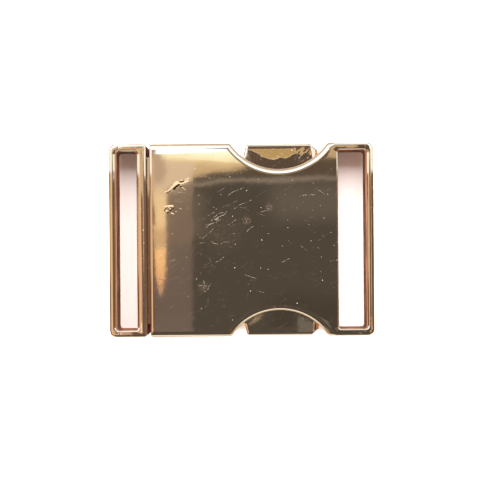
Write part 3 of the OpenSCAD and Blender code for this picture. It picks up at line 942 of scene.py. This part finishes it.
def sag(x, y, side):
    """How far the button's face drops at this place, in mm, towards its outer edge."""
    line = sag_line[0][1] if side > 0 else plain_sag_y
    for (x0, y0), (x1, y1) in zip(sag_line, sag_line[1:]):
        if x0 <= x <= x1 and side > 0:
            line = y0 + (y1 - y0) * (x - x0) / (x1 - x0)
    over = max(0.0, y - line)
    drop = 0.046 * (over * over / 0.9 if over < 0.45 else over - 0.225)
    if side < 0:
        return drop
    lip = max(0.0, y - lip_y)
    drop += 0.11 * lip * lip if lip < 0.2 else 0.0044 + 0.044 * (lip - 0.2)
    ripples = 0.0025 * math.sin(2.9 * x + 1.7 * y) * math.sin(4.1 * y + 0.8 * x)
    ripples += 0.015 * math.sin(3.4 * x - 2.6 * y) * max(0.0, min(1.0, (x - 11.0) / 1.5))
    return drop + ripples * max(0.0, min(1.0, (y - 17.0) / 0.6)) * max(0.0, min(1.0, (x - 2.4) / 1.2))


def lever_mesh(bm, side):
    plan = turned_outline(lever_rows, 0)
    top = rolled(bm, plan, turned_outline(lever_rows, 1), lever_z1, 1, 0.8)
    under = rolled(bm, plan, turned_outline(lever_rows, 0.4), lever_z0, -1)
    skin(bm, top)
    skin(bm, [under[0], top[0]])
    skin(bm, under)
    bm.faces.new(under[-1])
    face = bm.faces.new(top[-1])
    part = [face] + list(face.edges) + list(face.verts)
    cuts = [((x * button_grid, 0, 0), (1, 0, 0)) for x in range(0, round(17 / button_grid))]
    cuts += [((0, y * button_grid, 0), (0, 1, 0)) for y in range(round(15.5 / button_grid),
                                                                 round(21 / button_grid))]
    for place, across in cuts:
        done = bmesh.ops.bisect_plane(bm, geom=part, plane_co=Vector(place) * mm, plane_no=across,
                                      dist=1e-7)
        part = [g for g in done["geom"] if g.is_valid]
    sunken = {v for g in part if isinstance(g, bmesh.types.BMFace) for v in g.verts}
    sunken.update(v for loop in top for v in loop)
    for v in sunken:
        v.co.z -= sag(v.co.x / mm, v.co.y / mm, side) * mm


lever_gold = rose_gold("rose_gold_lever_plate", (0.9, 0.66, 0.47), 0.012, 0.003)
for side, node, name, body in ((1, "left_release_lever", "left_button_lever", "left_lever"),
                               (-1, "right_release_lever", "right_button_lever", "right_lever")):
    bm = bmesh.new()
    lever_mesh(bm, side)
    if side < 0:
        bmesh.ops.scale(bm, vec=(1, -1, 1), verts=bm.verts)
    lever = built(bm, name, lever_gold)
    combine(lever, cad_stub(node, name + "_eye", eye_end, False, eye_reach, lever_gold), "UNION")
    bm = bmesh.new()
    deep = (seat_end - seat_start) * mm
    bmesh.ops.create_cone(bm, cap_ends=True, segments=48, radius1=seat_r * mm, radius2=seat_r * mm,
                          depth=deep)
    bmesh.ops.translate(bm, verts=bm.verts, vec=(0, 0, deep / 2))
    bmesh.ops.rotate(bm, verts=bm.verts, matrix=Matrix.Rotation(math.radians(-90 * side), 3, "X"))
    bmesh.ops.translate(bm, verts=bm.verts, vec=Vector((spring_x, seat_start * side, mid_z)) * mm)
    combine(lever, built(bm, name + "_seat", lever_gold), "DIFFERENCE")
    polished(lever)
    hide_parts(node)
    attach(lever, body)


# Pivot pins: headless drawn steel pins pressed through the ears, one under each lever's eye.
def steel(name, scale, rough):
    material = new_material(name)
    tree = material.node_tree
    where = add(tree, "ShaderNodeTexCoord").outputs["Object"]
    drawn = add(tree, "ShaderNodeMapping", Vector=where, Scale=scale)
    lines = noise(tree, drawn.outputs[0], 1.0, 3.0)
    tone = add(tree, "ShaderNodeValToRGB", Fac=lines)
    tone.color_ramp.elements[0].color = (0.36, 0.35, 0.34, 1)
    tone.color_ramp.elements[1].color = (0.62, 0.61, 0.59, 1)
    grain = add(tree, "ShaderNodeMapRange", Value=lines, To_Min=rough - 0.08, To_Max=rough + 0.12)
    metal = add(tree, "ShaderNodeBsdfPrincipled", Base_Color=tone.outputs[0], Metallic=1.0,
                Roughness=grain.outputs[0], Normal=bumped(tree, lines, 0.01, 0.4))
    add(tree, "ShaderNodeOutputMaterial", Surface=metal.outputs[0])
    return material


pin_steel = steel("drawn_pin_steel", (9000, 9000, 600), 0.28)
for node in ("left_pivot_pin", "right_pivot_pin"):
    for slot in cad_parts[node].material_slots:
        slot.material = pin_steel


# Return springs: a coil of spring wire across each side, its end turns closed, between a seat in the
# blade and one in the lever. The real spring shortens as the lever swings in; this one is wound once at
# its resting length.
spring_y0 = 8.103
spring_y1 = 15.55
wire_r = 0.225
coil_r = 1.16
coil_turns = 7.0

spring_wire = steel("spring_wire_steel", (2500, 2500, 2500), 0.3)
coil = bpy.data.node_groups.new("coil_spring", "GeometryNodeTree")
face = coil.interface
face.new_socket("Geometry", in_out="OUTPUT", socket_type="NodeSocketGeometry")
for label in ("Turns", "Coil radius", "Wire radius", "Length", "Start", "Side"):
    face.new_socket(label, in_out="INPUT", socket_type="NodeSocketFloat")
given = coil.nodes.new("NodeGroupInput")
result = coil.nodes.new("NodeGroupOutput")
spiral = add(coil, "GeometryNodeCurveSpiral", Resolution=28, Rotations=given.outputs["Turns"],
             Start_Radius=given.outputs["Coil radius"], End_Radius=given.outputs["Coil radius"],
             Height=0.0)
along_wire = add(coil, "GeometryNodeSplineParameter").outputs["Factor"]
pitch = add(coil, "ShaderNodeFloatCurve", Value=along_wire)
curve = pitch.mapping.curves[0]
curve.points[0].location = (0, 0)
curve.points[1].location = (1, 1)
for x, y in ((0.13, 0.05), (0.2, 0.12), (0.8, 0.88), (0.87, 0.95)):
    curve.points.new(x, y)
pitch.mapping.update()
climb = add(coil, "ShaderNodeCombineXYZ", Z=maths(coil, "MULTIPLY", pitch.outputs[0],
                                                  given.outputs["Length"]))
wound = add(coil, "GeometryNodeSetPosition", Geometry=spiral.outputs[0], Offset=climb.outputs[0])
lean = add(coil, "ShaderNodeCombineXYZ", X=maths(coil, "MULTIPLY", given.outputs["Side"],
                                                 -math.pi / 2))
home = add(coil, "ShaderNodeCombineXYZ", X=spring_x * mm, Y=given.outputs["Start"], Z=mid_z * mm)
laid = add(coil, "GeometryNodeTransform", Geometry=wound.outputs[0], Translation=home.outputs[0],
           Rotation=lean.outputs[0])
wire = add(coil, "GeometryNodeCurvePrimitiveCircle", Resolution=10,
           Radius=given.outputs["Wire radius"])
tube = add(coil, "GeometryNodeCurveToMesh", Curve=laid.outputs[0], Profile_Curve=wire.outputs[0])
tube.inputs["Fill Caps"].default_value = True
smooth = add(coil, "GeometryNodeSetShadeSmooth", Geometry=tube.outputs[0])
painted = add(coil, "GeometryNodeSetMaterial", Geometry=smooth.outputs[0], Material=spring_wire)
real = add(coil, "GeometryNodeRealizeInstances", Geometry=painted.outputs[0])
coil.links.new(real.outputs[0], result.inputs["Geometry"])
sockets = {item.name: item.identifier for item in face.items_tree if item.in_out == "INPUT"}

for side, node, name, joint in ((1, "left_spring", "left_coil", "left_lever_hinge"),
                                (-1, "right_spring", "right_coil", "right_lever_hinge")):
    spring = bpy.data.objects.new(name, bpy.data.meshes.new(name))
    bpy.context.scene.collection.objects.link(spring)
    winding = spring.modifiers.new("winding", "NODES")
    winding.node_group = coil
    for label, value in (("Turns", coil_turns), ("Coil radius", coil_r * mm),
                         ("Wire radius", wire_r * mm),
                         ("Length", (spring_y1 - spring_y0 - 2 * wire_r) * mm),
                         ("Start", (spring_y0 + wire_r) * mm * side), ("Side", float(side))):
        winding[sockets[label]] = value
    bake(spring)
    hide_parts(node)
    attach(spring, "root")
    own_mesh(spring)
